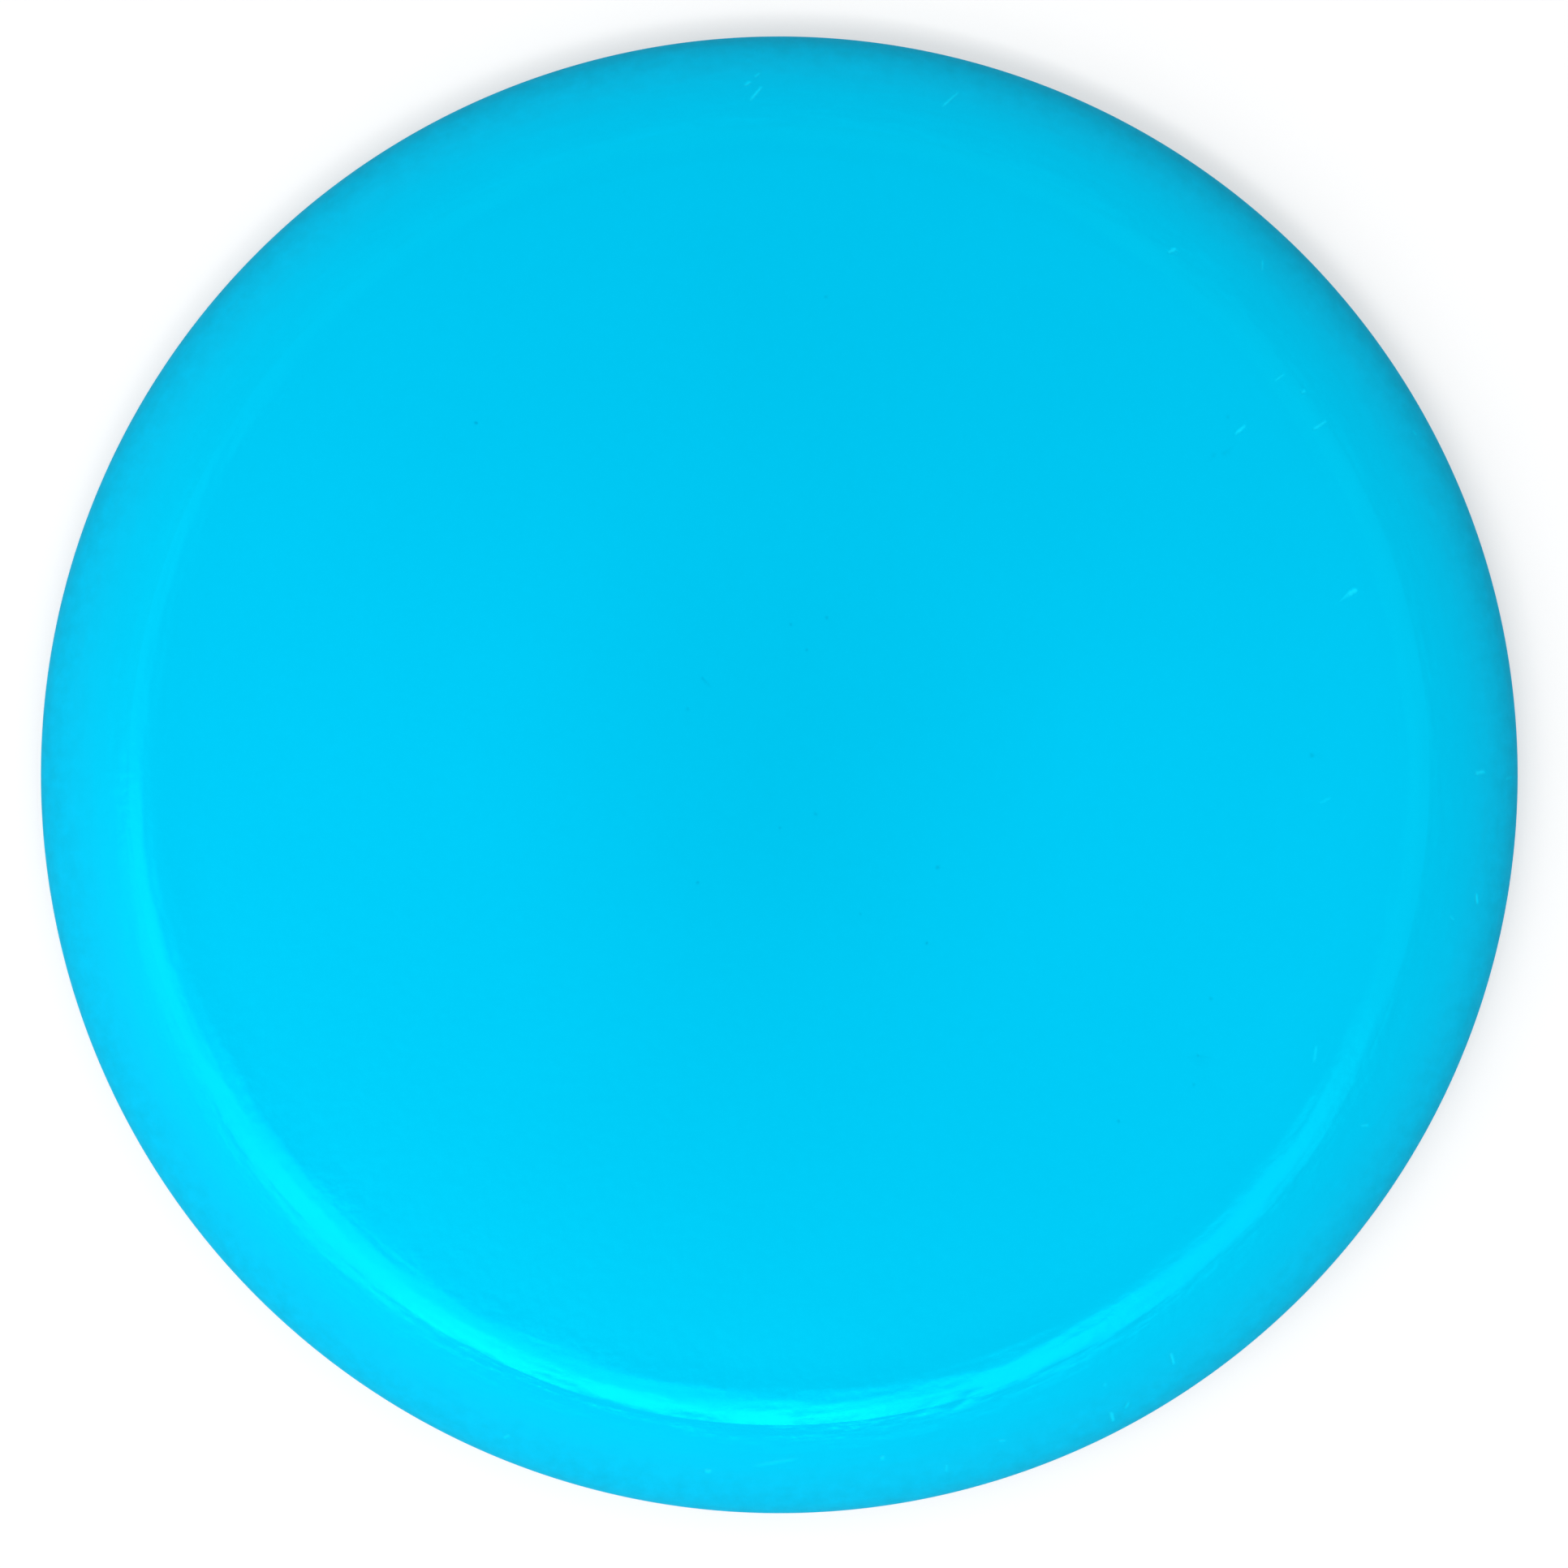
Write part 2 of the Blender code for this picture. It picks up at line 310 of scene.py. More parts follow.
class DiscStage(bpy.types.PropertyGroup):
    """Camera, lights and floor."""

    camera_height: length("Camera height", "Height of the camera above the floor", 1.0)
    camera_right: length("Camera right", "How far the camera stands to the right of the axis", 0.00069)
    camera_down: length("Camera down", "How far the camera stands below the axis in the picture", 0.00135)
    disc_share: share("Disc share", "Part of the picture's width that the disc takes up", 0.9415)
    room_light: level("Room light", "Even light from all round", 0.33)
    panel_distance: length("Panel distance", "From the disc to every panel", 1.6)
    key_light: level("Key light", "Brightness of the narrow panel that makes the sharpest highlight", 12.1)
    key_tilt: turn("Key tilt", "How far from the top the key panel hangs", 28.5)
    key_place: turn("Key place", "Where round the disc the key panel hangs", 257)
    top_light: level("Top light", "Brightness of the panel nearest to the top", 4.3)
    top_tilt: turn("Top tilt", "How far from the top that panel hangs", 20.5)
    top_place: turn("Top place", "Where round the disc that panel hangs", 240)
    high_fill: level("High ring fill", "Brightness of the darkest panels of the high ring", 0.6)
    high_rise: level("High ring rise", "How much brighter the high ring is at its brightest place", 4.6)
    high_place: turn("High ring place", "Where round the disc the high ring is brightest", 249)
    high_reach: turn("High ring reach", "How far round the disc that brightness has faded out", 90)
    high_fade: turn("High ring fade", "Over how much of the round it fades out", 49)
    high_tilt: turn("High ring tilt", "How far from the top the high ring of panels hangs", 29.5)
    high_lean: turn("High ring lean", "How much nearer to the top the ring hangs at its raised side", 3)
    high_lean_place: turn("High ring lean place", "Where round the disc the high ring is raised", 345)
    low_fill: level("Low ring fill", "Brightness of the darkest panels of the low ring", 0.22)
    low_rise: level("Low ring rise", "How much brighter the low ring is at its brightest place", 1.5)
    low_place: turn("Low ring place", "Where round the disc the low ring is brightest", 215)
    low_reach: turn("Low ring reach", "How far round the disc that brightness fades out", 83)
    low_tilt: turn("Low ring tilt", "How far from the top the low ring of panels hangs", 52)
    floor_shade: share("Floor shade", "How much light the floor gives back", 0.5)
    floor_glow: share("Floor glow", "White that the floor adds to the picture", 0.52)
    far_glow: share("Far glow", "White that it adds further out, where less light falls", 0.36)
    far_start: length("Far start", "Distance from the axis at which that sets in", 0.4)
    far_end: length("Far end", "Distance from the axis at which that is full", 1.8)


def crown_roll(shape):
    """Radius and height of the middle of the circle on which the plate's shoulder rolls over."""
    start = shape.seam_radius - shape.roll_width
    slope = math.atan(shape.dome_rise * shape.dome_power / start)
    height = shape.height - shape.dome_rise - shape.roll_radius * math.cos(slope)
    return start - shape.roll_radius * math.sin(slope), height


def crown(shape, radius):
    """Height of the disc's upper face at a radius, from the axis to the seam."""
    start = shape.seam_radius - shape.roll_width
    if radius <= start:
        return shape.height - shape.dome_rise * (radius / start) ** shape.dome_power
    middle_radius, middle_height = crown_roll(shape)
    return middle_height + math.sqrt(shape.roll_radius**2 - (radius - middle_radius) ** 2)


def underside(shape, radius):
    """Height of the plate's lower face at a radius."""
    return crown(shape, radius) - shape.plate_thickness


def ledge(shape, radius):
    """Height of the plate's ledge, which carries the rim's lip, at a radius."""
    fall = (radius - shape.seam_radius) / (shape.wall_radius - shape.seam_radius)
    return crown(shape, shape.seam_radius) - shape.lip_thickness - shape.ledge_drop * fall


def curve(start, start_direction, end, end_direction, points):
    """Points of one smooth curve that leaves start and reaches end along the two directions."""
    handle_in = Vector(start) + Vector(start_direction)
    handle_out = Vector(end) - Vector(end_direction)
    return [tuple(point) for point in interpolate_bezier(start, handle_in, handle_out, end, points)]


def fillet(before, corner, after, reach, points):
    """Points of a round corner that starts and ends a reach away from the sharp one."""
    roundness = 0.55
    corner = Vector(corner)
    to_start = (Vector(before) - corner).normalized() * reach
    to_end = (Vector(after) - corner).normalized() * reach
    return curve(corner + to_start, -to_start * roundness, corner + to_end, to_end * roundness, points)


def key_band(shape):
    """Heights of the top and the bottom of the keys."""
    return shape.nose_height + shape.key_height / 2, shape.nose_height - shape.key_height / 2


def plate_outline(shape, fineness):
    """Half section of the flight plate, from the top of its axis round to the bottom of it."""
    roll_start = shape.seam_radius - shape.roll_width
    radii = [roll_start * step / fineness.dome_points for step in range(fineness.dome_points)]
    roll_steps = range(fineness.roll_points + 1)
    radii += [roll_start + shape.roll_width * step / fineness.roll_points for step in roll_steps]
    dome = [(radius, crown(shape, radius)) for radius in radii]
    key_top, key_bottom = key_band(shape)
    outer_wall = [
        (shape.seam_radius, ledge(shape, shape.seam_radius)),
        (shape.wall_radius, ledge(shape, shape.wall_radius)),
        (shape.wall_radius, key_top),
        (shape.wall_radius, key_bottom),
        (shape.wall_radius, 0.0),
    ]
    inner_top = (shape.grip_radius, underside(shape, shape.grip_radius))
    inner_foot = (shape.grip_foot_radius, 0.0)
    below_end = shape.grip_radius - shape.inner_corner
    below_start = (below_end, underside(shape, below_end))
    grip_edge = fillet(outer_wall[-1], inner_foot, inner_top, shape.grip_round, fineness.fillet_points)
    inner_corner = fillet(inner_foot, inner_top, below_start, shape.inner_corner, fineness.fillet_points)
    below = []
    for step in range(fineness.underside_points):
        radius = below_end + (shape.gate_radius - below_end) * step / fineness.underside_points
        below.append((radius, underside(shape, radius)))
    gate_face = underside(shape, 0.0) - shape.gate_height
    gate = [
        (shape.gate_radius, underside(shape, shape.gate_radius)),
        (shape.gate_radius - shape.gate_height, gate_face),
        (0.0, gate_face),
    ]
    return dome + outer_wall + grip_edge + inner_corner[:-1] + below + gate


def rim_outline(shape, fineness):
    """Section of the outer rim, from the seam over the wing and the foot and back up the joint.

    The lip starts on the flats of the plate's edge, which is a polygon, so that no slit shows between them.
    """
    lip_radius = shape.seam_radius * math.cos(math.pi / fineness.plate_steps)
    inner_radius = shape.wall_radius + shape.joint_gap
    middle_radius = crown_roll(shape)[0]
    shoulder_slope = math.asin((lip_radius - middle_radius) / shape.roll_radius)
    nose = (shape.edge_radius, shape.nose_height)

    # The wing is divided more finely beside the seam, where the crease runs
    finer = 4
    beside_seam = 12
    fine_wing = curve(
        (lip_radius, crown(shape, lip_radius)),
        (shape.wing_run * math.cos(shoulder_slope), -shape.wing_run * math.sin(shoulder_slope)),
        nose,
        (0.0, -shape.nose_run),
        finer * fineness.wing_points + 1,
    )
    wing = fine_wing[:beside_seam] + fine_wing[beside_seam::finer]
    lower_angle = shape.lower_wing_angle
    lower_wing = curve(
        nose,
        (0.0, -shape.lower_nose_run),
        (shape.foot_radius, 0.0),
        (-shape.lower_wing_run * math.cos(lower_angle), -shape.lower_wing_run * math.sin(lower_angle)),
        fineness.lower_wing_points,
    )
    key_top, key_bottom = key_band(shape)
    joint = [
        (inner_radius, 0.0),
        (inner_radius, key_bottom - shape.joint_gap),
        (inner_radius, key_top + shape.joint_gap),
        (inner_radius, ledge(shape, inner_radius) + shape.joint_gap),
        (lip_radius, ledge(shape, lip_radius) + shape.joint_gap),
    ]
    return wing + lower_wing[1:] + joint


def open_for_shaping(piece):
    """Select one piece only and go into its mesh."""
    bpy.ops.object.select_all(action="DESELECT")
    piece.select_set(True)
    bpy.context.view_layer.objects.active = piece
    bpy.ops.object.mode_set(mode="EDIT")


def turned(name, outline, closed, steps):
    """Draw the outline with extruded points and spin it round Z into a piece."""
    bpy.ops.object.select_all(action="DESELECT")
    bpy.ops.mesh.primitive_plane_add(size=MILLIMETRE, enter_editmode=True, location=(0.0, 0.0, 0.0))
    piece = bpy.context.object
    piece.name = name
    piece.data.name = name
    bpy.ops.mesh.select_mode(type="VERT")
    bpy.ops.mesh.merge(type="CENTER")
    bpy.ops.transform.translate(value=(outline[0][0], 0.0, outline[0][1]))
    for (radius, height), (next_radius, next_height) in zip(outline, outline[1:]):
        step = (next_radius - radius, 0.0, next_height - height)
        bpy.ops.mesh.extrude_vertices_move(TRANSFORM_OT_translate={"value": step})
    if closed:
        bpy.ops.mesh.select_all(action="DESELECT")
        mesh = bmesh.from_edit_mesh(piece.data)
        for point in mesh.verts:
            point.select_set(len(point.link_edges) == 1)
        bmesh.update_edit_mesh(piece.data)
        bpy.ops.mesh.edge_face_add()
    bpy.ops.mesh.select_all(action="SELECT")
    bpy.ops.mesh.spin(steps=steps, angle=FULL_TURN, center=(0.0, 0.0, 0.0), axis=(0.0, 0.0, 1.0))
    bpy.ops.mesh.select_all(action="SELECT")
    bpy.ops.mesh.remove_doubles(threshold=WELD_DISTANCE)
    bpy.ops.mesh.normals_make_consistent(inside=False)
    return piece


def select_faces(piece, wanted):
    """Select the faces of the open piece whose middle and normal pass the test."""
    bpy.ops.mesh.select_mode(type="FACE")
    bpy.ops.mesh.select_all(action="DESELECT")
    mesh = bmesh.from_edit_mesh(piece.data)
    chosen = [face for face in mesh.faces if wanted(face.calc_center_median(), face.normal)]
    if not chosen:
        raise RuntimeError(f"no face to work on in {piece.name}")
    for face in chosen:
        face.select_set(True)
    bmesh.update_edit_mesh(piece.data)


def draw_out_keys(piece, shape, radius):
    """Extrude the wall of the open piece outwards in a ring of keys, or of pockets for them."""
    key_top, key_bottom = key_band(shape)
    pitch = FULL_TURN / shape.key_count
    half_key = pitch * shape.key_share / 2
    near_wall = 10 * shape.joint_gap

    def on_key(middle, normal):
        on_wall = abs(middle.xy.length - radius) < near_wall
        from_key = math.remainder(math.atan2(middle.y, middle.x), pitch)
        return on_wall and key_bottom < middle.z < key_top and abs(from_key) < half_key

    select_faces(piece, on_key)
    grow = (radius + shape.key_depth) / radius
    taper = 0.9
    bpy.ops.mesh.extrude_region_move()
    bpy.ops.transform.resize(value=(grow, grow, taper), center_override=(0.0, 0.0, shape.nose_height))
    bpy.ops.mesh.select_all(action="SELECT")
    bpy.ops.mesh.normals_make_consistent(inside=False)


def near_mark(place, mark, margin):
    """How far a place lies along and across a nick or dent, as shares of its half length and half width."""
    direction = math.radians(mark.direction)
    right = place.x / MILLIMETRE - mark.x
    up = place.y / MILLIMETRE - mark.y
    along = right * math.cos(direction) + up * math.sin(direction)
    across = up * math.cos(direction) - right * math.sin(direction)
    if abs(along) > mark.length / 2 + margin or abs(across) > mark.width / 2 + margin:
        return None
    return along / (mark.length / 2), across / (mark.width / 2)


def near_speck(place, speck, margin):
    """How far a place lies from the middle of a speck, as a share of its radius."""
    away = math.hypot(place.x / MILLIMETRE - speck.x, place.y / MILLIMETRE - speck.y)
    if away > speck.size / 2 + margin:
        return None
    return away / (speck.size / 2)


def refine_worn_places(piece, dent_cuts, cuts, margin):
    """Divide the upper faces at dents, and then at nicks and specks, finely enough to press them in."""

    def dent_near(middle, normal):
        return normal.z > UPWARD and any(near_mark(middle, dent, margin) for dent in DENTS)

    def mark_near(middle, normal):
        if normal.z < UPWARD:
            return False
        return any(near_mark(middle, nick, margin) for nick in NICKS) or any(
            near_speck(middle, speck, margin) is not None for speck in SPECKS
        )

    open_for_shaping(piece)
    select_faces(piece, dent_near)
    bpy.ops.mesh.subdivide(number_cuts=dent_cuts)
    select_faces(piece, mark_near)
    bpy.ops.mesh.subdivide(number_cuts=cuts)
    bpy.ops.object.mode_set(mode="OBJECT")


def moulding_waves(place, wear):
    """Height of the slight waves that the mouldings keep from cooling and from use."""
    broad = wear.wave_height * noise.noise(place / wear.wave_size)
    radius = place.xy.length
    if radius < wear.streak_start:
        return broad
    around = place.xy.normalized() * radius / wear.streak_length
    drawn_out = noise.noise(Vector((around.x, around.y, radius / wear.streak_width)))
    return broad + wear.streak_height * drawn_out


def seam_crease(place, wear, seam_radius):
    """How far the rim has sunk at a place beside the seam."""
    beyond = place.xy.length - seam_radius
    if beyond <= 0.0:
        return 0.0
    from_worst = math.remainder(math.atan2(place.y, place.x) - wear.crease_place, FULL_TURN)
    fading = math.exp(-((from_worst / wear.crease_spread) ** 2))
    return wear.crease_depth * fading * (1.0 - math.exp(-beyond / wear.crease_reach))


def dented(place):
    """How far the dents have pushed a place in."""
    total = 0.0
    for dent in DENTS:
        reach = 1.5 * dent.length
        found = near_mark(place, dent, reach)
        if found:
            total += dent.depth * MILLIMETRE * math.exp(-(found[0] ** 2) - found[1] ** 2)
    return total


def nicked(place):
    """How deep nicks cut a place, from one at the bottom to below zero on a burr, and how pale it is."""
    reach = 1.0
    end_stray = 0.2
    groove_sharpness = 1.6
    burr_sharpness = 6.0
    burr_height = 0.4
    burr_place = 1.5
    cut = 0.0
    pale = 0.0
    for nick in NICKS:
        found = near_mark(place, nick, reach)
        if found is None:
            continue
        ragged = NICK_STRAY * noise.noise(place * NICK_GRAIN)
        along = abs(found[0]) + end_stray * ragged
        across = abs(found[1] + ragged)
        end = max(0.0, 1.0 - along**4)
        groove = end * math.exp(-groove_sharpness * across**2)
        burr = end * math.exp(-burr_sharpness * (across - burr_place) ** 2)
        cut += min(nick.strength, 1.0) * (groove - burr_height * burr)
        pale = max(pale, nick.strength * groove)
    return cut, pale


def specked(place):
    """How deep and dark a place is in the specks."""
    reach = 1.0
    sharpness = 1.5
    dark = 0.0
    for speck in SPECKS:
        away = near_speck(place, speck, reach)
        if away is not None:
            ragged = away + SPECK_STRAY * noise.noise(place * SPECK_GRAIN)
            dark = max(dark, speck.strength * math.exp(-sharpness * ragged**2))
    return dark


def press_wear(piece, wear, seam_radius):
    """Press the wear into the upper face, and note how pale or dark it makes each point."""
    mesh = piece.data
    faces_up = [point.normal.z > UPWARD for point in mesh.vertices]
    paleness = mesh.attributes.new("nick", "FLOAT", "POINT")
    darkness = mesh.attributes.new("speck", "FLOAT", "POINT")
    for index, point in enumerate(mesh.vertices):
        if not faces_up[index]:
            continue
        place = point.co.copy()
        cut, pale = nicked(place)
        dark = specked(place)
        paleness.data[index].value = pale
        darkness.data[index].value = dark
        point.co.z += moulding_waves(place, wear) - seam_crease(place, wear, seam_radius) - dented(place)
        point.co.z -= wear.nick_depth * cut + wear.speck_depth * dark


def added(tree, kind, **settings):
    """A new node with its settings."""
    node = tree.nodes.new(kind)
    for setting, value in settings.items():
        setattr(node, setting, value)
    return node


def noise_node(tree, vector, scale, detail, roughness=0.5):
    """A noise texture on the given coordinates, with as many finer layers as its detail."""
    texture = added(tree, "ShaderNodeTexNoise")
    texture.inputs["Scale"].default_value = scale
    texture.inputs["Detail"].default_value = detail
    texture.inputs["Roughness"].default_value = roughness
    tree.links.new(vector, texture.inputs["Vector"])
    return texture.outputs["Fac"]


def added_up(tree, start, parts):
    """A sum of a starting number and of values times their gains."""
    total = None
    for value, gain in parts:
        step = added(tree, "ShaderNodeMath", operation="MULTIPLY_ADD")
        tree.links.new(value, step.inputs[0])
        step.inputs[1].default_value = gain
        if total is None:
            step.inputs[2].default_value = start
        else:
            tree.links.new(total, step.inputs[2])
        total = step.outputs["Value"]
    return total


def multiplied(tree, first, second):
    """Two values multiplied."""
    product = added(tree, "ShaderNodeMath", operation="MULTIPLY")
    tree.links.new(first, product.inputs[0])
    tree.links.new(second, product.inputs[1])
    return product.outputs["Value"]


def mixed(tree, factor, base, other):
    """A base colour that turns into another colour with the factor."""
    mix = added(tree, "ShaderNodeMix", data_type="RGBA", clamp_factor=True)
    tree.links.new(factor, mix.inputs["Factor"])
    tree.links.new(base, mix.inputs["A"])
    mix.inputs["B"].default_value = (*other, 1.0)
    return mix.outputs["Result"]


def attribute_node(tree, name):
    """A value that the mesh holds for each of its points."""
    return added(tree, "ShaderNodeAttribute", attribute_name=name).outputs["Fac"]


def heading_and_radius(tree, place):
    """Direction from the axis and distance from it."""
    flat = added(tree, "ShaderNodeVectorMath", operation="MULTIPLY")
    flat.inputs[1].default_value = (1.0, 1.0, 0.0)
    tree.links.new(place, flat.inputs[0])
    heading = added(tree, "ShaderNodeVectorMath", operation="NORMALIZE")
    tree.links.new(flat.outputs["Vector"], heading.inputs[0])
    radius = added(tree, "ShaderNodeVectorMath", operation="LENGTH")
    tree.links.new(flat.outputs["Vector"], radius.inputs[0])
    return heading.outputs["Vector"], radius.outputs["Value"]


def drawn_round(tree, heading, radius, drawn_length, drawn_width):
    """Coordinates in which a texture is drawn out round the axis."""
    outwards = added(tree, "ShaderNodeMath", operation="DIVIDE")
    tree.links.new(radius, outwards.inputs[0])
    outwards.inputs[1].default_value = drawn_width
    upright = added(tree, "ShaderNodeCombineXYZ")
    tree.links.new(outwards.outputs["Value"], upright.inputs["Z"])
    placed = added(tree, "ShaderNodeVectorMath", operation="MULTIPLY_ADD")
    tree.links.new(heading, placed.inputs[0])
    placed.inputs[1].default_value = (RIM_EDGE / drawn_length,) * 3
    tree.links.new(upright.outputs["Vector"], placed.inputs[2])
    return placed.outputs["Vector"]


def smooth_step(tree, value, start, end):
    """A value that rises smoothly from zero to one between start and end."""
    step = added(tree, "ShaderNodeMapRange", interpolation_type="SMOOTHSTEP")
    tree.links.new(value, step.inputs["Value"])
    step.inputs["From Min"].default_value = start
    step.inputs["From Max"].default_value = end
    return step.outputs["Result"]


# Painted sheen: the two opposite lighter sectors, which are painted into the plate's colour in place of the
# sheen of its flow lines.
def painted_sheen_sectors(tree, heading, direction, fade):
    """A value that is one along the direction and against it, and zero square to it, times the fade."""
    along = added(tree, "ShaderNodeVectorMath", operation="DOT_PRODUCT")
    tree.links.new(heading, along.inputs[0])
    along.inputs[1].default_value = (math.cos(direction), math.sin(direction), 0.0)
    squared = added(tree, "ShaderNodeMath", operation="POWER")
    tree.links.new(along.outputs["Value"], squared.inputs[0])
    squared.inputs[1].default_value = 2.0
    return multiplied(tree, squared.outputs["Value"], fade)


def worn_plastic(
    name,
    finish,
    pigment,
    roughness,
    relief_depth,
    scuff_gain=0.0,
    scuff_relief=0.0,
    painted_sheen_gain=0.0,
    gate_shade=0.0,
    polish=0.0,
    grain_blur=0.0,
):
    """Satin plastic with cloudy pigment, a fine relief, rubbed streaks, pale nicks and dark specks, and,
    where a gain is given, painted sheen as lighter sectors in its colour.

    Its shoulder is polished and its edge is rubbed matt. A very fine grain keeps the change between the two
    from showing as a line.
    """
    cloud_gain = 0.03
    peel_gain = 0.02
    nick_blur = 0.25
    material = bpy.data.materials.new(name)
    material.use_nodes = True
    tree = material.node_tree
    shader = tree.nodes["Principled BSDF"]
    place = added(tree, "ShaderNodeTexCoord").outputs["Object"]
    cloud = noise_node(tree, place, CLOUD_SCALE, detail=3.0)
    peel = noise_node(tree, place, PEEL_SCALE, detail=3.0)
    heading, radius = heading_and_radius(tree, place)
    along_rim = drawn_round(tree, heading, radius, SCUFF_LENGTH, SCUFF_WIDTH)
    scuff = noise_node(tree, along_rim, 1.0, detail=2.0)
    rubbed = smooth_step(tree, radius, finish.edge_wear_start, RIM_EDGE)
    polished = smooth_step(tree, radius, finish.polish_start, finish.polish_full)
    worn_off = smooth_step(tree, radius, finish.polish_fade, finish.polish_end)
    off_gate = smooth_step(tree, radius, 0.0, finish.gate_spread)
    # Painted sheen: the colour is made lighter along the flow direction and against it, as the flow lines
    # shine in the key light.
    flow_sheen = painted_sheen_sectors(tree, heading, finish.painted_sheen_turn, off_gate)
    blotches = noise_node(tree, place, MOTTLE_SCALE, detail=4.0, roughness=0.6)
    mottle = multiplied(tree, blotches, rubbed)
    shades = [
        (cloud, cloud_gain),
        (peel, peel_gain),
        (scuff, scuff_gain),
        (flow_sheen, painted_sheen_gain),
        (off_gate, gate_shade),
        (mottle, finish.edge_mottle),
        (rubbed, -finish.edge_mottle / 2),
    ]
    start = 1.0 - (cloud_gain + peel_gain + scuff_gain + painted_sheen_gain) / 2 - gate_shade
    brightness = added_up(tree, start, shades)
    tinted = added(tree, "ShaderNodeVectorMath", operation="SCALE")
    tinted.inputs["Vector"].default_value = pigment
    tree.links.new(brightness, tinted.inputs["Scale"])
    nick = attribute_node(tree, "nick")
    speck = attribute_node(tree, "speck")
    base = mixed(tree, nick, tinted.outputs["Vector"], finish.nick_colour)
    base = mixed(tree, speck, base, finish.speck_colour)
    tree.links.new(base, shader.inputs["Base Color"])
    grain = noise_node(tree, place, GRAIN_SCALE, detail=0.0)
    blurs = [
        (nick, nick_blur),
        (rubbed, finish.edge_wear),
        (polished, -polish),
        (worn_off, polish),
        (grain, grain_blur),
    ]
    blur = added_up(tree, roughness - grain_blur / 2, blurs)
    tree.links.new(blur, shader.inputs["Roughness"])
    bump = added(tree, "ShaderNodeBump")
    bump.inputs["Strength"].default_value = 1.0
    bump.inputs["Distance"].default_value = relief_depth
    relief = added_up(tree, 0.0, [(peel, 1.0), (scuff, scuff_relief)])
    tree.links.new(relief, bump.inputs["Height"])
    tree.links.new(bump.outputs["Normal"], shader.inputs["Normal"])
    shader.inputs["Metallic"].default_value = 0.0
    shader.inputs["Specular IOR Level"].default_value = finish.gloss
    shader.inputs["Specular Tint"].default_value = (*finish.gloss_tint, 1.0)
    return material


def finish_piece(piece, material, node):
    """Give a piece its plastic, and let it stand for a node of the frame."""
    piece.data.materials.clear()
    piece.data.materials.append(material)
    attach(piece, "root")
    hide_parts(node)


class DISC_OT_flight_plate(bpy.types.Operator):
    """Model the flight plate, with its wall, its keys and its wear"""

    bl_idname = "disc.flight_plate"
    bl_label = "Flight Plate"

    def execute(self, context):
        scene = context.scene
        shape, fineness, finish = scene.disc_shape, scene.disc_fineness, scene.disc_finish
        outline = plate_outline(shape, fineness)
        piece = turned("flight_plate_moulding", outline, closed=False, steps=fineness.plate_steps)
        draw_out_keys(piece, shape, shape.wall_radius)
        bpy.ops.object.mode_set(mode="OBJECT")
        bpy.ops.object.shade_smooth_by_angle(angle=SMOOTH_ANGLE)
        refine_worn_places(piece, fineness.dent_cuts, fineness.plate_cuts, PLATE_MARGIN)
        press_wear(piece, scene.disc_wear, shape.seam_radius)
        plastic = worn_plastic(
            "plate_plastic",
            finish,
            pigment=finish.plate_colour,
            roughness=finish.plate_roughness,
            relief_depth=finish.plate_relief,
            painted_sheen_gain=finish.painted_sheen_gain,
            gate_shade=finish.gate_shade,
            polish=finish.plate_polish,
        )
        finish_piece(piece, plastic, "flight_plate")
        return {"FINISHED"}


class DISC_OT_outer_rim(bpy.types.Operator):
    """Model the outer rim, with its wing, its foot, its pockets and its wear"""

    bl_idname = "disc.outer_rim"
    bl_label = "Outer Rim"

    def execute(self, context):
        scene = context.scene
        shape, fineness, finish = scene.disc_shape, scene.disc_fineness, scene.disc_finish
        outline = rim_outline(shape, fineness)
        piece = turned("outer_rim_moulding", outline, closed=True, steps=fineness.rim_steps)
        draw_out_keys(piece, shape, shape.wall_radius + shape.joint_gap)
        bpy.ops.object.mode_set(mode="OBJECT")
        bpy.ops.object.shade_smooth_by_angle(angle=SMOOTH_ANGLE)
        refine_worn_places(piece, fineness.dent_cuts, fineness.rim_cuts, RIM_MARGIN)
        press_wear(piece, scene.disc_wear, shape.seam_radius)
        plastic = worn_plastic(
            "rim_plastic",
            finish,
            pigment=finish.rim_colour,
            roughness=finish.rim_roughness,
            relief_depth=finish.rim_relief,
            scuff_gain=0.03,
            scuff_relief=0.5,
            polish=finish.rim_polish,
            grain_blur=0.2,
        )
        finish_piece(piece, plastic, "outer_rim")
        return {"FINISHED"}


def seen_directly(tree):
    """One for what the camera, a reflection or a transparent surface sees, and zero for plain lighting."""
    path = added(tree, "ShaderNodeLightPath")
    seen = path.outputs["Is Camera Ray"]
    for ray in ("Is Glossy Ray", "Is Transmission Ray"):
        either = added(tree, "ShaderNodeMath", operation="MAXIMUM")
        tree.links.new(seen, either.inputs[0])
        tree.links.new(path.outputs[ray], either.inputs[1])
        seen = either.outputs["Value"]
    return seen


def white_room(scene, room_light):
    """A room that lights the disc evenly and looks white."""
    world = bpy.data.worlds.new("white_room")
    world.use_nodes = True
    tree = world.node_tree
    lighting = tree.nodes["Background"]
    lighting.inputs["Color"].default_value = (1.0, 1.0, 1.0, 1.0)
    lighting.inputs["Strength"].default_value = room_light
    backdrop = added(tree, "ShaderNodeBackground")
    backdrop.inputs["Color"].default_value = (1.0, 1.0, 1.0, 1.0)
    backdrop.inputs["Strength"].default_value = 1.0
    mix = added(tree, "ShaderNodeMixShader")
    tree.links.new(seen_directly(tree), mix.inputs["Fac"])
    tree.links.new(lighting.outputs["Background"], mix.inputs[1])
    tree.links.new(backdrop.outputs["Background"], mix.inputs[2])
    tree.links.new(mix.outputs["Shader"], tree.nodes["World Output"].inputs["Surface"])
    scene.world = world


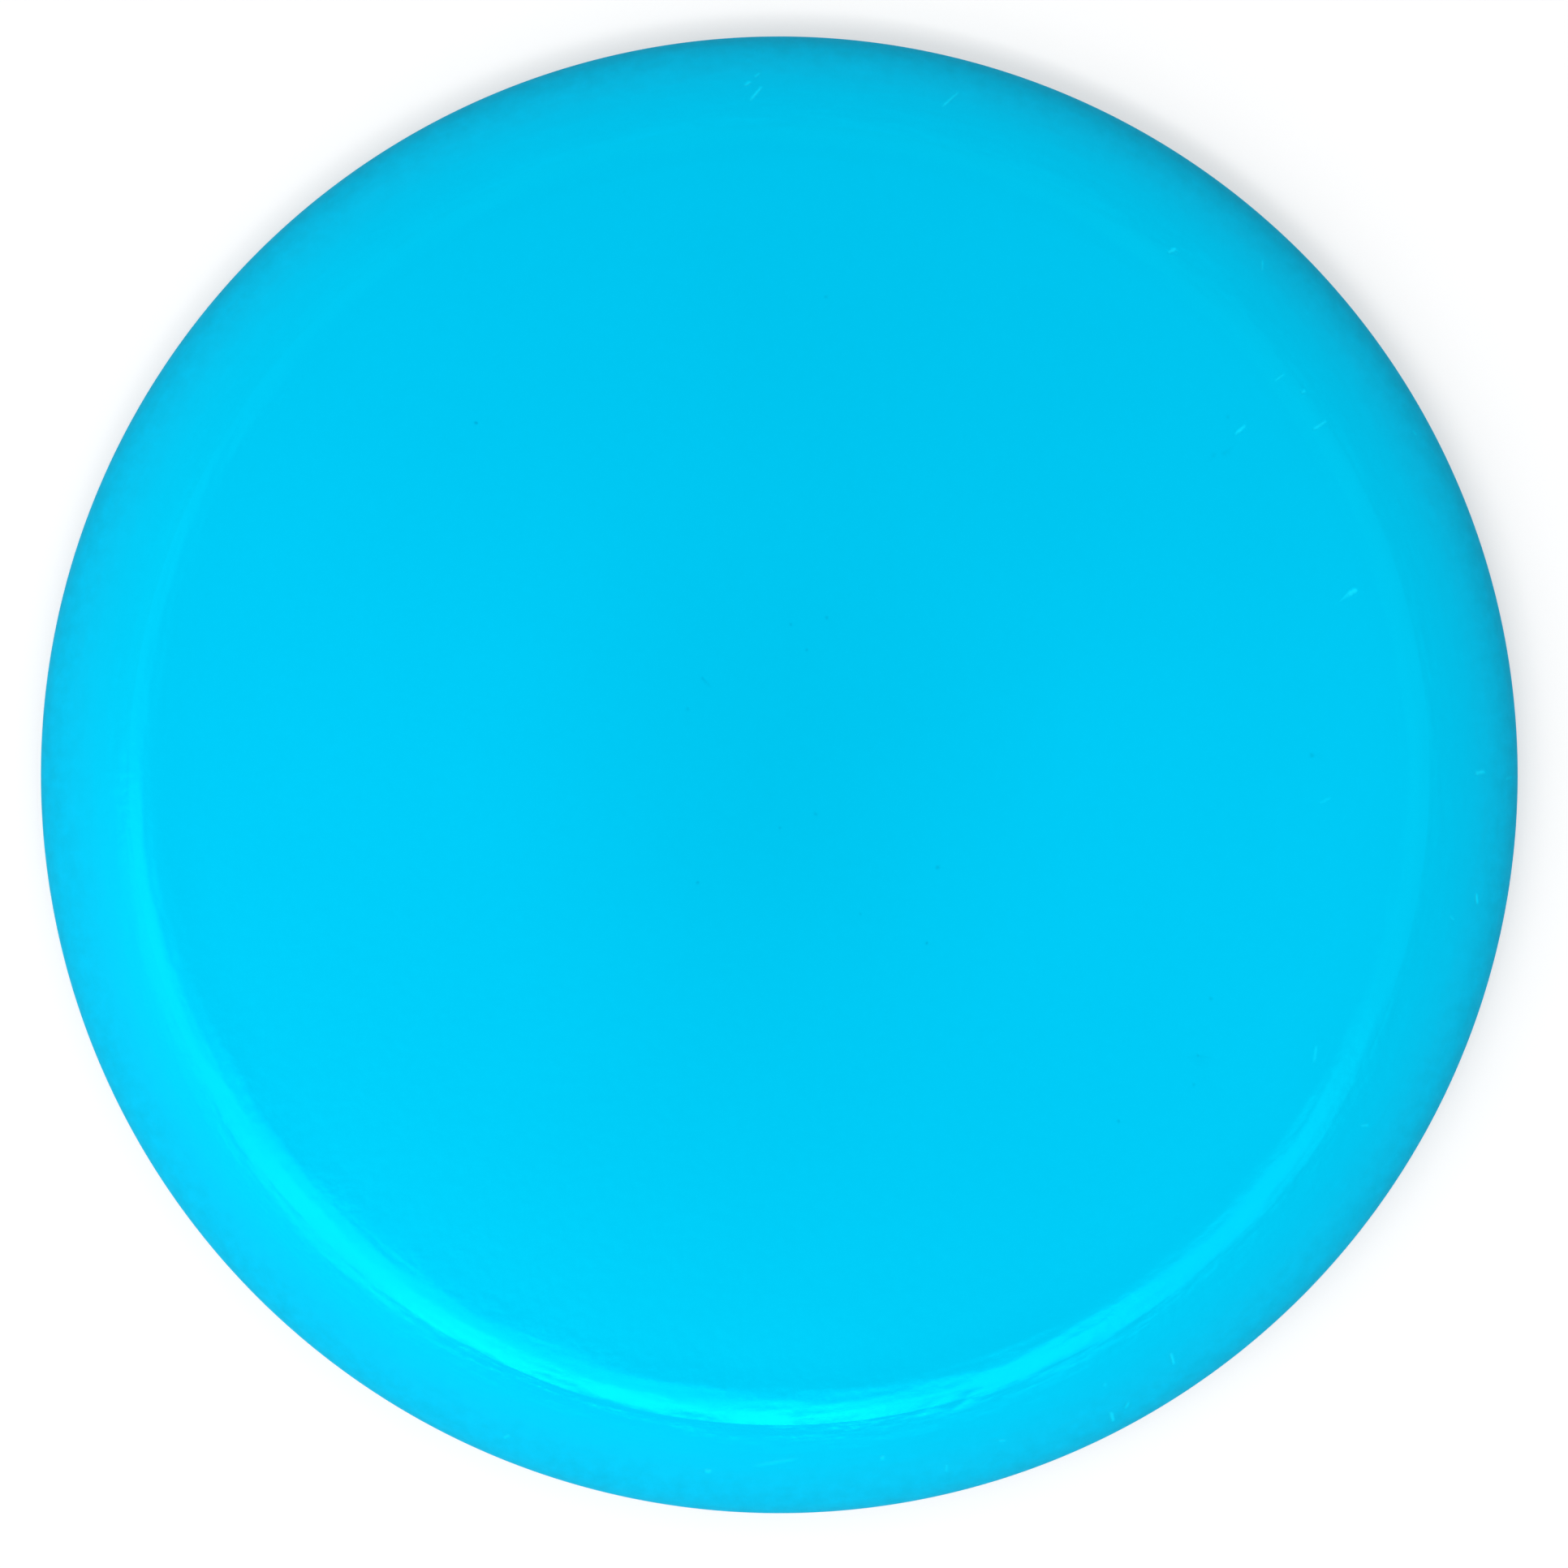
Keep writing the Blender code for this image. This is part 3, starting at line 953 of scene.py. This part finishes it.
def pale_floor(stage):
    """A pale floor that keeps the disc's shadow and looks white up to the horizon."""
    bpy.ops.object.select_all(action="DESELECT")
    bpy.ops.mesh.primitive_plane_add(size=FLOOR_SIDE, location=(0.0, 0.0, 0.0))
    floor = bpy.context.object
    floor.name = "floor"
    material = bpy.data.materials.new("floor_paper")
    material.use_nodes = True
    tree = material.node_tree
    tree.nodes.clear()
    paper = added(tree, "ShaderNodeBsdfDiffuse")
    paper.inputs["Color"].default_value = (stage.floor_shade, stage.floor_shade, stage.floor_shade, 1.0)
    white = added(tree, "ShaderNodeEmission")
    place = added(tree, "ShaderNodeTexCoord").outputs["Object"]
    from_axis = added(tree, "ShaderNodeVectorMath", operation="LENGTH")
    tree.links.new(place, from_axis.inputs[0])
    far = smooth_step(tree, from_axis.outputs["Value"], stage.far_start, stage.far_end)
    glow = added_up(tree, stage.floor_glow, [(far, stage.far_glow)])
    tree.links.new(multiplied(tree, seen_directly(tree), glow), white.inputs["Strength"])
    both = added(tree, "ShaderNodeAddShader")
    tree.links.new(paper.outputs["BSDF"], both.inputs[0])
    tree.links.new(white.outputs["Emission"], both.inputs[1])
    output = added(tree, "ShaderNodeOutputMaterial")
    tree.links.new(both.outputs["Shader"], output.inputs["Surface"])
    floor.data.materials.append(material)


def hang_panel(name, tilt, heading, distance, size, brightness):
    """A lit panel that faces the disc, so many times as bright as white paper in full light."""
    width, depth = size
    outwards = math.sin(tilt)
    away = Vector((outwards * math.cos(heading), outwards * math.sin(heading), math.cos(tilt)))
    bpy.ops.object.light_add(type="AREA", location=away * distance)
    panel = bpy.context.object
    panel.name = name
    panel.rotation_mode = "QUATERNION"
    panel.rotation_quaternion = away.to_track_quat("Z", "Y")
    panel.data.shape = "RECTANGLE"
    panel.data.size = width
    panel.data.size_y = depth
    panel.data.energy = brightness * math.pi * width * depth
    return panel


def ring_of_panels(panels, fill, rise, place, reach, fade):
    """Headings and brightnesses of a ring of panels: even round its brightest place, then fading out."""
    for index in range(panels):
        heading = FULL_TURN * (index + 0.5) / panels
        away = abs(math.remainder(heading - place, FULL_TURN))
        yield heading, fill + rise * min(1.0, max(0.0, (reach - away) / fade))


def soft_lights(stage):
    """A narrow key panel, a panel near the top, and a high and a low ring of soft panels."""
    distance = stage.panel_distance
    hang_panel("key_panel", stage.key_tilt, stage.key_place, distance, KEY_PANEL, stage.key_light)
    hang_panel("top_panel", stage.top_tilt, stage.top_place, distance, TOP_PANEL, stage.top_light)
    high_panels = 12
    key_room = FULL_TURN / high_panels / 2
    high_ring = ring_of_panels(
        high_panels, stage.high_fill, stage.high_rise, stage.high_place, stage.high_reach, stage.high_fade
    )
    for heading, brightness in high_ring:
        if abs(math.remainder(heading - stage.key_place, FULL_TURN)) > key_room:
            tilt = stage.high_tilt - stage.high_lean * math.cos(heading - stage.high_lean_place)
            hang_panel("high_panel", tilt, heading, distance, HIGH_PANEL, brightness)
    low_panels = 8
    low_ring = ring_of_panels(
        low_panels, stage.low_fill, stage.low_rise, stage.low_place, stage.low_reach, stage.low_reach
    )
    for heading, brightness in low_ring:
        hang_panel("low_panel", stage.low_tilt, heading, distance, LOW_PANEL, brightness)


def overhead_camera(scene, stage, shape):
    """A camera that looks straight down and frames the disc as the picture does."""
    bpy.ops.object.camera_add(location=(stage.camera_right, -stage.camera_down, stage.camera_height))
    camera = bpy.context.object
    camera.name = "overhead_camera"
    camera.rotation_euler = (0.0, 0.0, 0.0)
    camera.data.sensor_fit = "HORIZONTAL"
    half_width = shape.edge_radius / (stage.camera_height - shape.nose_height) / stage.disc_share
    camera.data.angle = 2 * math.atan(half_width)
    camera.data.dof.use_dof = False
    scene.camera = camera


class DISC_OT_stage(bpy.types.Operator):
    """Set up the pale floor, the soft lights and the overhead camera"""

    bl_idname = "disc.stage"
    bl_label = "Stage"

    def execute(self, context):
        scene = context.scene
        stage = scene.disc_stage
        scene.view_settings.view_transform = "Standard"
        white_room(scene, stage.room_light)
        pale_floor(stage)
        soft_lights(stage)
        overhead_camera(scene, stage, scene.disc_shape)
        return {"FINISHED"}


class DISC_PT_panel(bpy.types.Panel):
    """Sizes, finish and stage of the flying disc"""

    bl_idname = "DISC_PT_panel"
    bl_label = "Flying Disc"
    bl_space_type = "VIEW_3D"
    bl_region_type = "UI"
    bl_category = "Flying Disc"

    def draw(self, context):
        scene = context.scene
        for name in SETTINGS:
            settings = getattr(scene, name)
            box = self.layout.box()
            for setting in settings.__annotations__:
                box.prop(settings, setting)
        for operator in PIECE_OPERATORS:
            self.layout.operator(operator.bl_idname)


PIECE_OPERATORS = (DISC_OT_flight_plate, DISC_OT_outer_rim, DISC_OT_stage)
SETTINGS = {
    "disc_shape": DiscShape,
    "disc_fineness": DiscFineness,
    "disc_finish": DiscFinish,
    "disc_wear": DiscWear,
    "disc_stage": DiscStage,
}
CLASSES = (*SETTINGS.values(), *PIECE_OPERATORS, DISC_PT_panel)


def register():
    for each in CLASSES:
        bpy.utils.register_class(each)
    for name, group in SETTINGS.items():
        setattr(bpy.types.Scene, name, PointerProperty(type=group))


def unregister():
    for name in SETTINGS:
        delattr(bpy.types.Scene, name)
    for each in reversed(CLASSES):
        bpy.utils.unregister_class(each)


def main():
    register()
    bpy.ops.disc.flight_plate()
    bpy.ops.disc.outer_rim()
    bpy.ops.disc.stage()


if __name__ == "__main__":
    main()
